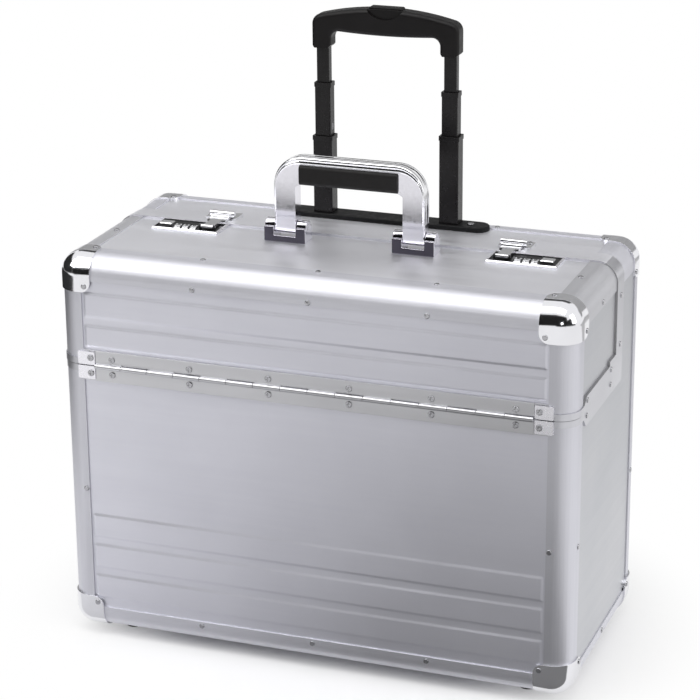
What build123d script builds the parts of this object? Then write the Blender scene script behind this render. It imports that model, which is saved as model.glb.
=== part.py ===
"""Aluminium trolley pilot case: a hinged front lid, fold-down handle, combination locks, trolley and wheels.

Millimetres. +X is the case's right seen from the front, +Y runs to the back, +Z is up. The origin lies on
the floor under the middle of the case. The lid is shut, the carrying handle stands up and the trolley is
part drawn.
"""

import os
from math import cos, radians, sin, tan

from build123d import *

# Case shell, measured over the edge profiles
case_width = 460
case_depth = 216
case_height = 348
edge_radius = 18
ground_gap = 8

# Edge profiles and the panels held in them
profile_wall = 1.2
panel_thickness = 3
slot_lip = 1
slot_web = 1.5
face_leg = 22.5
side_leg = 24
base_leg = 21.5
crown_leg = 29
flute_radius = 0.5
flute_depth = 0.06
flute_pitch = 3.4
corner_gap = 25

# Parting between case and lid, and the rim frames along it
lid_height = 97
rear_strip = 80
parting_gap = 0.5
lid_rim_side = 12
lid_rim_back = 8.5
case_rim_width = 14
rim_corner_width = 6
rim_jog = 7
rim_lug = 4
rim_lug_reach = 20
lid_rim_proud = 1
case_rim_proud = 0.6
rim_web = 1.5
rim_round = 1.5

# Raised bands pressed into the front panels: heights above the shell's underside, and depths below its top,
# both at the middle of the slopes
band_rise = 0.9
band_slope = 66
band_margin = 25
case_bands = ((30.9, 52.1), (60.1, 81.6), (89.4, 110.3))
lid_bands = ((61.8, 80.1), (32.6, 53.4))

# Ball corners
cap_reach = 31.5
cap_proud = 1.5
cap_round = 9
cap_rivet_inset = 26
pad_reach = 29

# Rivets and screws
rivet_radius = 2.4
rivet_height = 0.9
screw_radius = 2.9
screw_height = 0.9
cross_width = 0.8
rivet_inset = 19.5
rivet_pitch = 104
rim_rivet_inset = 5.5
mid_rivet_height = 134.5
rim_rivet_front = 35
rim_rivet_back = 24
rim_rivet_above = 21
rim_rivet_below = 32
lid_rivet_back = 54
lid_rim_rivet_rise = 8
base_rivet_rise = 17.5

# Piano hinge
hinge_inset = 34
knuckle_count = 16
knuckle_radius = 2.2
knuckle_gap = 0.4
hinge_pin_radius = 1.05
hinge_running = 0.05
hinge_stand_off = 2.45
leaf_thickness = 1
leaf_width = 13.7
leaf_screw_height = 6.9
leaf_screw_inset = 15.5
plate_length = 16.5
plate_width = 12.4
plate_thickness = 1.4
plate_screw_inset = 4.5
plate_play = 0.5

# Carrying handle
handle_pitch = 117
handle_leg_width = 19.5
handle_leg_depth = 13
handle_height = 63.4
handle_channel = 6.5
handle_corner = 26
handle_gusset = 4.25
handle_gusset_drop = 2.5
handle_edge_round = 2
handle_axis_back = -1.5
handle_axis_rise = 12
handle_pin_radius = 2
handle_running = 0.05
grip_height = 17.8
grip_depth = 18
bracket_width = 38
bracket_depth = 17
bracket_play = 0.3
bracket_base = 2.5
bracket_sill = 5.5
bracket_sill_depth = 3
bracket_lug_radius = 6

# Combination locks
lock_inset = 76.25
lock_length = 62.5
lock_width = 28.6
lock_thickness = 2.4
lock_recess = 0.8
lock_gap = 0.2
lock_border = 2
dial_radius = 7
dial_width = 5.4
dial_pitch = 7.5
dial_rise = 1.6
dial_play = 0.3
dial_offset = 5.25
dial_shift_back = -2.85
dial_shaft_radius = 1
dial_running = 0.05
housing_wall = 1.2
slider_length = 11.5
slider_width = 9
slider_height = 3
slider_travel = 2.6
slider_gap = 2.4
slider_stem = 5
slider_play = 0.3
slider_groove_width = 0.8
slider_groove_depth = 0.5
slider_grooves = 3
hasp_inset = 12.5
hasp_width = 11
hasp_roll_length = 17
hasp_thickness = 2.2
hasp_barrel_radius = 2
hasp_roll_radius = 2.3
hasp_axis_back = -0.5
hasp_axis_rise = 4.2
hasp_pin_radius = 0.9
hasp_running = 0.05
hasp_overhang = 1.5
hasp_float = 0.4
ear_thickness = 1.6
ear_play = 0.3
striker_bar_radius = 2.5
striker_bar_length = 23
striker_play = 0.5
striker_rise = 6.5
striker_length = 29
striker_depth = 17
striker_base = 1.6
striker_web = 3
striker_lead = 2

# Trolley
trolley_pitch = 117.4
trolley_inset = 27.5
trolley_shift = 4.5
tube_wall = 1.2
tube_play = 0.35
inner_tube_width = 11.4
inner_tube_depth = 8.2
tube_corner = 1
collar_height = 4
collar_wall = 0.6
bezel_length = 198
bezel_width = 21
bezel_rise = 3.2
bezel_shift = 1
bezel_screw_inset = 17
stage_one_top = 73
stage_one_lead = 9
stage_two_top = 121
grip_leg_bottom = 152.8
stage_length = 330
foot_bar_height = 12
foot_bar_overhang = 8
grip_leg_width = 17.2
grip_crest = 190
grip_shoulder = 180.5
grip_under = 168.4
grip_sag = 2
grip_body_depth = 18
grip_round = 4
grip_toe = 2.5
grip_shoulder_round = 9
grip_inner_round = 7
socket_depth = 8
push_length = 30
push_width = 9
push_travel = 3
push_rise = 1.6
push_pocket = 8
push_play = 0.3
dish_half = 17
dish_height = 9
dish_depth = 2.5

# Running gear
wheel_radius = 22
wheel_width = 18
wheel_inset = 58
wheel_hub_radius = 13
wheel_clearance = 1.5
wheel_running = 0.06
axle_radius = 3
housing_width = 30
housing_height = 42
housing_proud = 2
housing_skin = 2
foot_radius = 8
foot_inset_x = 45
foot_inset_y = 33
foot_toe = 1

# Inside
lining_thickness = 1
lining_gap = 0.2
lining_round = 8
false_wall_thickness = 2

# Values worked out from those above
half_width = case_width / 2
half_depth = case_depth / 2
bottom = ground_gap
top = ground_gap + case_height
middle = (bottom + top) / 2
parting = top - lid_height
parting_back = half_depth - rear_strip
panel_inset = edge_radius + 1
panel_back_depth = profile_wall + panel_thickness
slot_depth = panel_back_depth + slot_lip
panel_top = top - profile_wall
leaf_front = -half_depth - leaf_thickness
hinge_y = -half_depth - hinge_stand_off
through = case_width


def box(x, y, z, mode=Mode.ADD):
    """A block given by its low and high limits along X, Y and Z."""
    with Locations(((x[0] + x[1]) / 2, (y[0] + y[1]) / 2, (z[0] + z[1]) / 2)):
        Box(x[1] - x[0], y[1] - y[0], z[1] - z[0], mode=mode)


def rod(radius, x, y, z, mode=Mode.ADD):
    """A round bar along X between two limits."""
    with Locations(Location(((x[0] + x[1]) / 2, y, z), (0, 90, 0))):
        Cylinder(radius, x[1] - x[0], mode=mode)


def write(piece, name):
    """Names a finished piece and writes it."""
    piece.part.label = name
    export_step(piece.part, f"parts/{name}.step")


def case_block(growth):
    """The rounded outside of the closed case, grown evenly by a distance."""
    with BuildPart() as block:
        with Locations((0, 0, middle)):
            Box(case_width + 2 * growth, case_depth + 2 * growth, case_height + 2 * growth)
        fillet(block.edges(), edge_radius + growth)
    return block.part


def edge_profile(start, along_u, along_v, leg_u, leg_v, length):
    """A fluted corner extrusion with a slot for a panel in each leg.

    It starts at a point on the sharp corner line and runs along u x v. Both u and v point away from the
    corner within the two faces that meet there.
    """
    normal = Vector(*along_u).cross(Vector(*along_v))
    plane = Plane(origin=start, x_dir=along_u, z_dir=normal)
    r = edge_radius
    inner_r = r - profile_wall
    web_start = panel_inset - slot_web
    inner_at_web = r - (inner_r**2 - (r - web_start) ** 2) ** 0.5
    outer_mid = r - r * cos(radians(45))
    inner_mid = r - inner_r * cos(radians(45))
    with BuildPart() as profile:
        with BuildSketch(plane):
            with BuildLine():
                Line((leg_u, 0), (r, 0))
                ThreePointArc((r, 0), (outer_mid, outer_mid), (0, r))
                Polyline(
                    (0, r),
                    (0, leg_v),
                    (profile_wall, leg_v),
                    (profile_wall, panel_inset),
                    (panel_back_depth, panel_inset),
                    (panel_back_depth, leg_v),
                    (slot_depth, leg_v),
                    (slot_depth, web_start),
                    (inner_at_web, web_start),
                )
                ThreePointArc((inner_at_web, web_start), (inner_mid, inner_mid), (web_start, inner_at_web))
                Polyline(
                    (web_start, inner_at_web),
                    (web_start, slot_depth),
                    (leg_u, slot_depth),
                    (leg_u, panel_back_depth),
                    (panel_inset, panel_back_depth),
                    (panel_inset, profile_wall),
                    (leg_u, profile_wall),
                    (leg_u, 0),
                )
            make_face()
            quarter = radians(90) * r
            flutes = int(quarter / flute_pitch)
            for i in range(flutes + 1):
                angle = i * radians(90) / flutes
                reach = r + flute_radius - flute_depth
                with Locations((r - reach * sin(angle), r - reach * cos(angle))):
                    Circle(flute_radius, mode=Mode.SUBTRACT)
        extrude(amount=length)
    return profile.part


def rivet():
    """A domed head, its flat face on the XY plane."""
    with BuildPart() as head:
        Cylinder(rivet_radius, rivet_height, align=(Align.CENTER, Align.CENTER, Align.MIN))
        fillet(head.faces().sort_by(Axis.Z)[-1].edges(), rivet_height * 0.8)
    return head.part


def screw():
    """A pan head with a cross recess, its flat face on the XY plane."""
    with BuildPart() as head:
        Cylinder(screw_radius, screw_height, align=(Align.CENTER, Align.CENTER, Align.MIN))
        fillet(head.faces().sort_by(Axis.Z)[-1].edges(), screw_height * 0.5)
        with Locations((0, 0, screw_height)):
            Box(screw_radius * 1.2, cross_width, screw_height, mode=Mode.SUBTRACT)
            Box(cross_width, screw_radius * 1.2, screw_height, mode=Mode.SUBTRACT)
    return head.part


rivet_head = rivet()
screw_head = screw()


def set_heads(head, points, outward):
    """Puts copies of a head at points, each facing outward."""
    for point in points:
        with Locations(Plane(origin=point, z_dir=outward)):
            add(head)


os.makedirs("parts", exist_ok=True)

# Panels. Each one ends in the slots of the profiles round it.
panel_x = half_width - panel_inset
panel_y = half_depth - panel_inset
front_out = -half_depth + profile_wall
front_in = front_out + panel_thickness
back_out = half_depth - profile_wall
back_in = back_out - panel_thickness
side_out = half_width - profile_wall
side_in = side_out - panel_thickness
floor_out = bottom + profile_wall
floor_in = floor_out + panel_thickness
roof_in = panel_top - panel_thickness
case_seam = parting - parting_gap / 2 - rim_web
lid_seam = parting + parting_gap / 2 + rim_web
case_back_seam = parting_back + parting_gap / 2 + rim_web
lid_back_seam = parting_back - parting_gap / 2 - rim_web
axle_y = hinge_stand_off + knuckle_radius + half_depth - wheel_radius
axle_z = wheel_radius
housing_front = axle_y - wheel_radius - wheel_clearance - housing_skin
wheel_x = half_width - wheel_inset
housing_top = bottom + housing_height
housing_edge = (wheel_x - housing_width / 2, wheel_x + housing_width / 2)


def cut_housings():
    """Clears the two wheel housings out of the piece being built."""
    for side in (-1, 1):
        limits = sorted((side * housing_edge[0], side * housing_edge[1]))
        box(limits, (housing_front, half_depth + through), (bottom - through, housing_top), Mode.SUBTRACT)


def raise_bands(bands):
    """Adds the pressed bands to a front panel, each from a low to a high level."""
    band_half = half_width - band_margin
    half_slope = band_rise * tan(radians(band_slope)) / 2
    slope = Plane(origin=(0, front_out, 0), x_dir=(1, 0, 0), z_dir=(0, -1, 0))
    for low, high in bands:
        with BuildSketch(slope) as band:
            with Locations((0, (low + high) / 2)):
                Rectangle(2 * (band_half + half_slope), high - low + 2 * half_slope)
        extrude(band.sketch, amount=band_rise, taper=band_slope)


with BuildPart() as front_panel:
    box((-panel_x, panel_x), (front_out, front_in), (bottom + panel_inset, case_seam))
    raise_bands([(bottom + low, bottom + high) for low, high in case_bands])
write(front_panel, "front_panel")

with BuildPart() as back_panel:
    box((-panel_x, panel_x), (back_in, back_out), (bottom + panel_inset, top - panel_inset))
    cut_housings()
write(back_panel, "back_panel")

with BuildPart() as bottom_panel:
    box((-panel_x, panel_x), (-panel_y, panel_y), (floor_out, floor_in))
    cut_housings()
write(bottom_panel, "bottom_panel")

for side, side_name in ((-1, "left"), (1, "right")):
    across = sorted((side * side_in, side * side_out))
    with BuildPart() as side_panel:
        box(across, (-panel_y, panel_y), (bottom + panel_inset, case_seam))
        box(across, (case_back_seam, panel_y), (case_seam, top - panel_inset))
    write(side_panel, f"side_panel_{side_name}")

tube_outer = (
    inner_tube_width + 6 * tube_wall + 6 * tube_play,
    inner_tube_depth + 6 * tube_wall + 6 * tube_play,
)
leg_x = (trolley_shift - trolley_pitch / 2, trolley_shift + trolley_pitch / 2)
trolley_back = half_depth - trolley_inset


def cut_tube_holes():
    """Clears the two fixed trolley tubes out of the piece being built."""
    for x in leg_x:
        box(
            (x - tube_outer[0] / 2, x + tube_outer[0] / 2),
            (trolley_back - tube_outer[1] / 2, trolley_back + tube_outer[1] / 2),
            (middle, top + through),
            Mode.SUBTRACT,
        )


with BuildPart() as rear_top_panel:
    box((-panel_x, panel_x), (case_back_seam, panel_y), (roof_in, panel_top))
    cut_tube_holes()
write(rear_top_panel, "rear_top_panel")

# Edge profiles of the case. They stop short of the corners, under the ball corners.
up_low = bottom + corner_gap
up_high = top - corner_gap
run_x = half_width - corner_gap
run_y = half_depth - corner_gap
front_corner_top = parting - parting_gap / 2 - rim_corner_width
lid_corner_low = parting + parting_gap / 2 + rim_corner_width
case_rim_back = parting_back + parting_gap / 2 + case_rim_width
lid_rim_front = parting_back - parting_gap / 2 - lid_rim_back
case_corner = edge_profile(
    (half_width, -half_depth, front_corner_top), (-1, 0, 0), (0, 1, 0), face_leg, side_leg,
    front_corner_top - up_low,
)
rear_corner = edge_profile(
    (half_width, half_depth, up_low), (-1, 0, 0), (0, -1, 0), face_leg, side_leg, up_high - up_low
)
with BuildPart() as corner_profiles:
    add(case_corner)
    add(rear_corner)
    mirror(about=Plane.YZ)
write(corner_profiles, "corner_profiles")

base_side = edge_profile(
    (half_width, run_y, bottom), (0, 0, 1), (-1, 0, 0), base_leg, side_leg, 2 * run_y
)
with BuildPart() as bottom_edge_profiles:
    add(base_side)
    mirror(about=Plane.YZ)
    add(edge_profile((run_x, -half_depth, bottom), (0, 0, 1), (0, 1, 0), base_leg, side_leg, 2 * run_x))
    add(edge_profile((-run_x, half_depth, bottom), (0, 0, 1), (0, -1, 0), base_leg, side_leg, 2 * run_x))
    cut_housings()
write(bottom_edge_profiles, "bottom_edge_profiles")

rear_side = edge_profile(
    (half_width, case_rim_back, top), (0, 0, -1), (-1, 0, 0), side_leg, side_leg, run_y - case_rim_back
)
with BuildPart() as rear_top_edge_profiles:
    add(rear_side)
    mirror(about=Plane.YZ)
    add(edge_profile((run_x, half_depth, top), (0, 0, -1), (0, -1, 0), face_leg, side_leg, 2 * run_x))
    cut_tube_holes()
write(rear_top_edge_profiles, "rear_top_edge_profiles")

# Rim frames. Each is a flange over the panel edges and a web that closes them, along the L-shaped parting.
beyond = half_depth + 2 * corner_gap
rim_front = -half_depth + side_leg + rim_round
hinge_bed = half_width - face_leg
bed_height = leaf_width
hinge_half = half_width - hinge_inset
plate_end = hinge_half + plate_length + plate_play


def rim_band(direction, side_width, back_width, lug):
    """Side outline of a rim frame, as points in Y and Z; direction is +1 for the lid and -1 for the case."""
    face = parting + direction * parting_gap / 2
    back_face = parting_back - direction * parting_gap / 2
    edge = back_face - direction * back_width
    corner = face + direction * rim_corner_width
    side = face + direction * side_width
    high = top + corner_gap
    outline = [
        (-beyond, face),
        (back_face, face),
        (back_face, high),
        (edge, high),
    ]
    if lug:
        outline += [(edge, side + lug), (edge - rim_lug_reach, side + lug), (edge - rim_lug_reach, side)]
    else:
        outline += [(edge, side)]
    outline += [(rim_front + rim_jog, side), (rim_front, corner), (-beyond, corner)]
    return outline


def rim_frame(direction, side_width, back_width, lug, proud):
    """A rim frame with its bed for the hinge leaf."""
    outside = case_block(proud)
    face = parting + direction * parting_gap / 2
    back_face = parting_back - direction * parting_gap / 2
    web_front = face + direction * rim_web
    web_back = back_face - direction * rim_web
    high = top + corner_gap
    with BuildPart() as web:
        with BuildSketch(Plane.YZ):
            with BuildLine():
                Polyline(
                    (-beyond, face), (back_face, face), (back_face, high),
                    (web_back, high), (web_back, web_front), (-beyond, web_front),
                    close=True,
                )
            make_face()
        extrude(amount=through, both=True)
        add(outside, mode=Mode.INTERSECT)
        add(case_block(-slot_depth), mode=Mode.SUBTRACT)
    with BuildPart() as flange:
        with BuildSketch(Plane.YZ):
            with BuildLine():
                Polyline(*rim_band(direction, side_width, back_width, lug), close=True)
            make_face()
            fillet(vertices().filter_by_position(Axis.X, rim_front, rim_front + rim_jog), rim_round)
        extrude(amount=through, both=True)
        add(outside, mode=Mode.INTERSECT)
        add(case_block(-profile_wall), mode=Mode.SUBTRACT)
        add(web.part)
        box(
            (-hinge_bed, hinge_bed),
            (-half_depth, front_out),
            sorted((face, face + direction * bed_height)),
        )
        box(
            (-plate_end, plate_end),
            (-beyond, -half_depth),
            sorted((face - direction, face + direction * (bed_height + rim_web))),
            Mode.SUBTRACT,
        )
    return flange.part


with BuildPart() as body_rim:
    add(rim_frame(-1, case_rim_width, case_rim_width, 0, case_rim_proud))
write(body_rim, "body_rim")

with BuildPart() as lid_rim:
    add(rim_frame(1, lid_rim_side, lid_rim_back, rim_lug, lid_rim_proud))
write(lid_rim, "lid_rim")

# Lid panels and profiles
with BuildPart() as lid_front_panel:
    box((-panel_x, panel_x), (front_out, front_in), (lid_seam, top - panel_inset))
    raise_bands([(top - low, top - high) for high, low in lid_bands])
write(lid_front_panel, "lid_front_panel")

lock_x = half_width - lock_inset
lock_y = lid_rim_front - lock_gap - lock_width / 2
dial_y = lock_y + dial_shift_back
dial_z = panel_top + lock_thickness - lock_recess + dial_rise - dial_radius
dial_x = [lock_x - dial_offset + i * dial_pitch for i in range(3)]
dial_bay = dial_width / 2 + dial_play
housing_x = (dial_x[0] - dial_bay - housing_wall, dial_x[2] + dial_bay + housing_wall)
housing_y = (dial_y - dial_radius - dial_play - housing_wall, dial_y + dial_radius + dial_play + housing_wall)
housing_low = dial_z - dial_radius - dial_play - housing_wall


def cut_lock_housings(play, low):
    """Clears the space under both lock plates out of the piece being built."""
    for side in (-1, 1):
        limits = sorted((side * (housing_x[0] - play), side * (housing_x[1] + play)))
        across = (housing_y[0] - play, housing_y[1] + play)
        box(limits, across, (low, top + lock_thickness), Mode.SUBTRACT)


with BuildPart() as lid_top_panel:
    box((-panel_x, panel_x), (-panel_y, lid_back_seam), (roof_in, panel_top))
    cut_lock_housings(lining_gap, housing_low - lining_gap)
write(lid_top_panel, "lid_top_panel")

with BuildPart() as lid_cheeks:
    box((side_in, side_out), (-panel_y, lid_back_seam), (lid_seam, top - panel_inset))
    mirror(about=Plane.YZ)
write(lid_cheeks, "lid_cheeks")

with BuildPart() as lid_front_top_profile:
    add(edge_profile((-run_x, -half_depth, top), (0, 0, -1), (0, 1, 0), base_leg, crown_leg, 2 * run_x))
write(lid_front_top_profile, "lid_front_top_profile")

lid_corner = edge_profile(
    (half_width, -half_depth, up_high), (-1, 0, 0), (0, 1, 0), face_leg, side_leg, up_high - lid_corner_low
)
with BuildPart() as lid_corner_profiles:
    add(lid_corner)
    mirror(about=Plane.YZ)
write(lid_corner_profiles, "lid_corner_profiles")

lid_side = edge_profile(
    (half_width, -run_y, top), (0, 0, -1), (-1, 0, 0), side_leg, side_leg, lid_rim_front + run_y
)
with BuildPart() as lid_top_side_profiles:
    add(lid_side)
    mirror(about=Plane.YZ)
write(lid_top_side_profiles, "lid_top_side_profiles")


# Ball corners, made at the right front top and mirrored to the others
def ball_corner(top_leg):
    """A chromed corner over three profiles, with pads down to the panels; top_leg is the front edge's."""
    with BuildPart() as cap:
        add(case_block(cap_proud))
        add(case_block(0), mode=Mode.SUBTRACT)
        box(
            (half_width - pad_reach, half_width - face_leg),
            (-half_depth, front_out),
            (top - pad_reach, top - face_leg),
        )
        box(
            (half_width - cap_reach, half_width - side_leg),
            (-half_depth + top_leg, -half_depth + cap_reach),
            (panel_top, top),
        )
        box(
            (side_out, half_width),
            (-half_depth + side_leg, -half_depth + cap_reach),
            (top - cap_reach, top - side_leg),
        )
    near = (half_width - cap_reach, -half_depth - cap_proud, top - cap_reach)
    far = (half_width + cap_proud, -half_depth + cap_reach, top + cap_proud)
    with BuildPart() as reach:
        box((near[0], far[0]), (near[1], far[1]), (near[2], far[2]))
        on_side = reach.edges().filter_by(Axis.X).sort_by(lambda e: e.center().Z - e.center().Y)[0]
        on_front = reach.edges().filter_by(Axis.Y).sort_by(lambda e: e.center().Z + e.center().X)[0]
        on_top = reach.edges().filter_by(Axis.Z).sort_by(lambda e: e.center().X - e.center().Y)[0]
        fillet([on_side, on_front, on_top], cap_round)
        add(cap.part, mode=Mode.INTERSECT)
    return reach.part


corner = ball_corner(crown_leg)
plain_corner = ball_corner(side_leg)
with BuildPart() as lid_corner_caps:
    add(corner)
    mirror(about=Plane.YZ)
write(lid_corner_caps, "lid_corner_caps")

upper_rear = mirror(plain_corner, about=Plane.XZ, mode=Mode.PRIVATE)
lower_front = mirror(plain_corner, about=Plane.XY.offset(middle), mode=Mode.PRIVATE)
lower_rear = mirror(lower_front, about=Plane.XZ, mode=Mode.PRIVATE)
with BuildPart() as body_corner_caps:
    add(upper_rear)
    add(lower_front)
    add(lower_rear)
    mirror(about=Plane.YZ)
write(body_corner_caps, "body_corner_caps")

# Piano hinge
knuckle_pitch = 2 * hinge_half / knuckle_count


def hinge_leaf(direction, first):
    """One leaf; direction is +1 for the lid and -1 for the case, first is its leftmost knuckle."""
    edge = knuckle_radius + knuckle_gap
    with BuildPart() as leaf:
        box(
            (-hinge_half, hinge_half),
            (leaf_front, -half_depth),
            sorted((parting + direction * edge, parting + direction * leaf_width)),
        )
        for i in range(first, knuckle_count, 2):
            low = -hinge_half + i * knuckle_pitch + knuckle_gap / 2
            span = (low, low + knuckle_pitch - knuckle_gap)
            rod(knuckle_radius, span, hinge_y, parting)
            root = parting + direction * (edge + leaf_thickness)
            box(span, (leaf_front, -half_depth), sorted((parting, root)))
        rod(hinge_pin_radius + hinge_running, (-through, through), hinge_y, parting, Mode.SUBTRACT)
    return leaf.part


with BuildPart() as hinge_leaf_upper:
    add(hinge_leaf(1, 0))
write(hinge_leaf_upper, "hinge_leaf_upper")

with BuildPart() as hinge_leaf_lower:
    add(hinge_leaf(-1, 1))
write(hinge_leaf_lower, "hinge_leaf_lower")

with BuildPart() as hinge_pin:
    rod(hinge_pin_radius, (-hinge_half, hinge_half), hinge_y, parting)
write(hinge_pin, "hinge_pin")


def hinge_plates(direction):
    """The end plates of one side of the hinge."""
    with BuildPart() as plates:
        box(
            (hinge_half + plate_play, hinge_half + plate_length),
            (-half_depth - plate_thickness, -half_depth),
            sorted((parting + direction * plate_play, parting + direction * plate_width)),
        )
        fillet(plates.edges().filter_by(Axis.Y), plate_play * 2)
        mirror(about=Plane.YZ)
    return plates.part


with BuildPart() as hinge_upper_plates:
    add(hinge_plates(1))
write(hinge_upper_plates, "hinge_upper_plates")

with BuildPart() as hinge_lower_plates:
    add(hinge_plates(-1))
write(hinge_lower_plates, "hinge_lower_plates")

# Carrying handle and its brackets
handle_z = top + handle_axis_rise
handle_x = handle_pitch / 2
handle_top = handle_z + handle_height
handle_half = handle_x + handle_leg_width / 2
opening_half = handle_x - handle_leg_width / 2
insert_top = handle_top - handle_channel
insert_low = insert_top - grip_height
insert_half = opening_half - handle_gusset
leg_round = handle_leg_depth / 2

with BuildPart() as carry_handle_frame:
    with BuildSketch(Plane.XZ.offset(-handle_axis_back)):
        with Locations((0, (handle_z + handle_top) / 2)):
            Rectangle(2 * handle_half, handle_height)
        fillet(vertices().sort_by(Axis.Y)[-2:], handle_corner)
        with BuildLine():
            Polyline(
                (-opening_half, handle_z - leg_round), (-opening_half, insert_low - handle_gusset_drop),
                (-insert_half, insert_low), (-insert_half, insert_top), (insert_half, insert_top),
                (insert_half, insert_low), (opening_half, insert_low - handle_gusset_drop),
                (opening_half, handle_z - leg_round), close=True,
            )
        make_face(mode=Mode.SUBTRACT)
    extrude(amount=handle_leg_depth / 2, both=True)
    flat = leg_round - handle_running
    rims = carry_handle_frame.edges().filter_by(lambda e: abs(e.center().Y - handle_axis_back) > flat)
    outer = rims.filter_by(lambda e: e.center().Z > insert_top + 1 or abs(e.center().X) > handle_x + 1)
    fillet(outer.filter_by(lambda e: e.center().Z > handle_z + 1), handle_edge_round)
    for side in (-1, 1):
        x = side * handle_x
        rod(leg_round, (x - handle_leg_width / 2, x + handle_leg_width / 2), handle_axis_back, handle_z)
    rod(handle_pin_radius + handle_running, (-through, through), handle_axis_back, handle_z, Mode.SUBTRACT)
write(carry_handle_frame, "carry_handle_frame")

with BuildPart() as carry_handle_grip:
    box(
        (-insert_half, insert_half),
        (handle_axis_back - grip_depth / 2, handle_axis_back + grip_depth / 2),
        (insert_low, insert_top),
    )
    fillet(carry_handle_grip.edges().filter_by(Axis.X), grip_depth / 5)
write(carry_handle_grip, "carry_handle_grip")

lug_gap = handle_leg_width / 2 + bracket_play
with BuildPart() as handle_brackets:
    x = handle_x
    reach = (handle_axis_back - bracket_depth / 2, handle_axis_back + bracket_depth / 2)
    span = (x - bracket_width / 2, x + bracket_width / 2)
    box(span, reach, (panel_top, handle_z))
    rod(bracket_lug_radius, span, handle_axis_back, handle_z)
    box((x - lug_gap, x + lug_gap), (reach[0] + bracket_sill_depth, reach[1] + 1),
        (panel_top + bracket_base, handle_top), Mode.SUBTRACT)
    box((x - lug_gap, x + lug_gap), (reach[0] - 1, reach[1]),
        (panel_top + bracket_sill, handle_top), Mode.SUBTRACT)
    rod(handle_pin_radius + handle_running, (0, through), handle_axis_back, handle_z, Mode.SUBTRACT)
    mirror(about=Plane.YZ)
write(handle_brackets, "handle_brackets")

# Locks
plate_x = (lock_x - lock_length / 2, lock_x + lock_length / 2)
plate_y = (lock_y - lock_width / 2, lock_y + lock_width / 2)
plate_top = panel_top + lock_thickness
recess_floor = plate_top - lock_recess
hasp_x = plate_x[0] + hasp_inset
hasp_z = panel_top + hasp_axis_rise
barrel_x = (hasp_x - hasp_width / 2, hasp_x + hasp_width / 2)
ear_low = (barrel_x[0] - ear_play - ear_thickness, barrel_x[0] - ear_play)
ear_high = (barrel_x[1] + ear_play, barrel_x[1] + ear_play + ear_thickness)
slider_low = dial_x[2] + dial_width / 2 + slider_gap
slider_x = (slider_low, slider_low + slider_length)
slider_y = (dial_y - slider_width / 2, dial_y + slider_width / 2)
stem_x = (slider_low + slider_stem / 2, slider_low + slider_stem * 1.5)
stem_y = (dial_y - slider_stem / 4, dial_y + slider_stem / 4)

with BuildPart() as lock_plates:
    box(plate_x, plate_y, (panel_top, plate_top))
    chamfer(lock_plates.faces().sort_by(Axis.Z)[-1].edges(), lock_border / 2)
    box((plate_x[0] + lock_border, plate_x[1] - lock_border),
        (plate_y[0] + lock_border, plate_y[1] - lock_border),
        (recess_floor, plate_top), Mode.SUBTRACT)
    box(housing_x, housing_y, (housing_low, panel_top))
    for x in dial_x:
        box((x - dial_bay, x + dial_bay),
            (housing_y[0] + housing_wall, housing_y[1] - housing_wall),
            (housing_low + housing_wall, top + dial_radius), Mode.SUBTRACT)
    for ear in (ear_low, ear_high):
        box(ear,
            (hasp_axis_back - hasp_barrel_radius, hasp_axis_back + hasp_barrel_radius),
            (recess_floor, hasp_z))
        rod(hasp_barrel_radius, ear, hasp_axis_back, hasp_z)
    rod(hasp_pin_radius + hasp_running, (0, through), hasp_axis_back, hasp_z, Mode.SUBTRACT)
    rod(dial_shaft_radius + dial_running, housing_x, dial_y, dial_z, Mode.SUBTRACT)
    box(
        (stem_x[0] - slider_play, stem_x[1] + slider_travel + slider_play),
        (stem_y[0] - slider_play, stem_y[1] + slider_play),
        (panel_top, recess_floor),
        Mode.SUBTRACT,
    )
    mirror(about=Plane.YZ)
write(lock_plates, "lock_plates")

with BuildPart() as slider_right:
    box(slider_x, slider_y, (recess_floor, recess_floor + slider_height))
    chamfer(slider_right.faces().sort_by(Axis.Z)[-1].edges(), slider_height / 4)
    for i in range(slider_grooves):
        x = slider_low + (i + 1) * slider_length / (slider_grooves + 1)
        groove_floor = recess_floor + slider_height - slider_groove_depth
        box((x - slider_groove_width / 2, x + slider_groove_width / 2), slider_y,
            (groove_floor, top + slider_height), Mode.SUBTRACT)
    box(stem_x, stem_y, (panel_top + slider_play, recess_floor))
write(slider_right, "slider_right")

roll_y = parting_back + hasp_overhang
roll_z = top + case_rim_proud + hasp_float + hasp_roll_radius
arm_low = top + lid_rim_proud + hasp_float
with BuildPart() as hasp_right:
    rod(hasp_barrel_radius, barrel_x, hasp_axis_back, hasp_z)
    box(barrel_x, (hasp_axis_back, roll_y), (arm_low, arm_low + hasp_thickness))
    rod(hasp_roll_radius, (hasp_x - hasp_roll_length / 2, hasp_x + hasp_roll_length / 2), roll_y, roll_z)
    box((hasp_x - hasp_roll_length / 2, hasp_x + hasp_roll_length / 2), (lid_rim_front, roll_y),
        (arm_low, arm_low + hasp_thickness))
    rod(hasp_pin_radius + hasp_running, (0, through), hasp_axis_back, hasp_z, Mode.SUBTRACT)
write(hasp_right, "hasp_right")

for name, piece in (("slider_left", slider_right), ("hasp_left", hasp_right)):
    with BuildPart() as twin:
        add(mirror(piece.part, about=Plane.YZ, mode=Mode.PRIVATE))
    write(twin, name)

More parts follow.
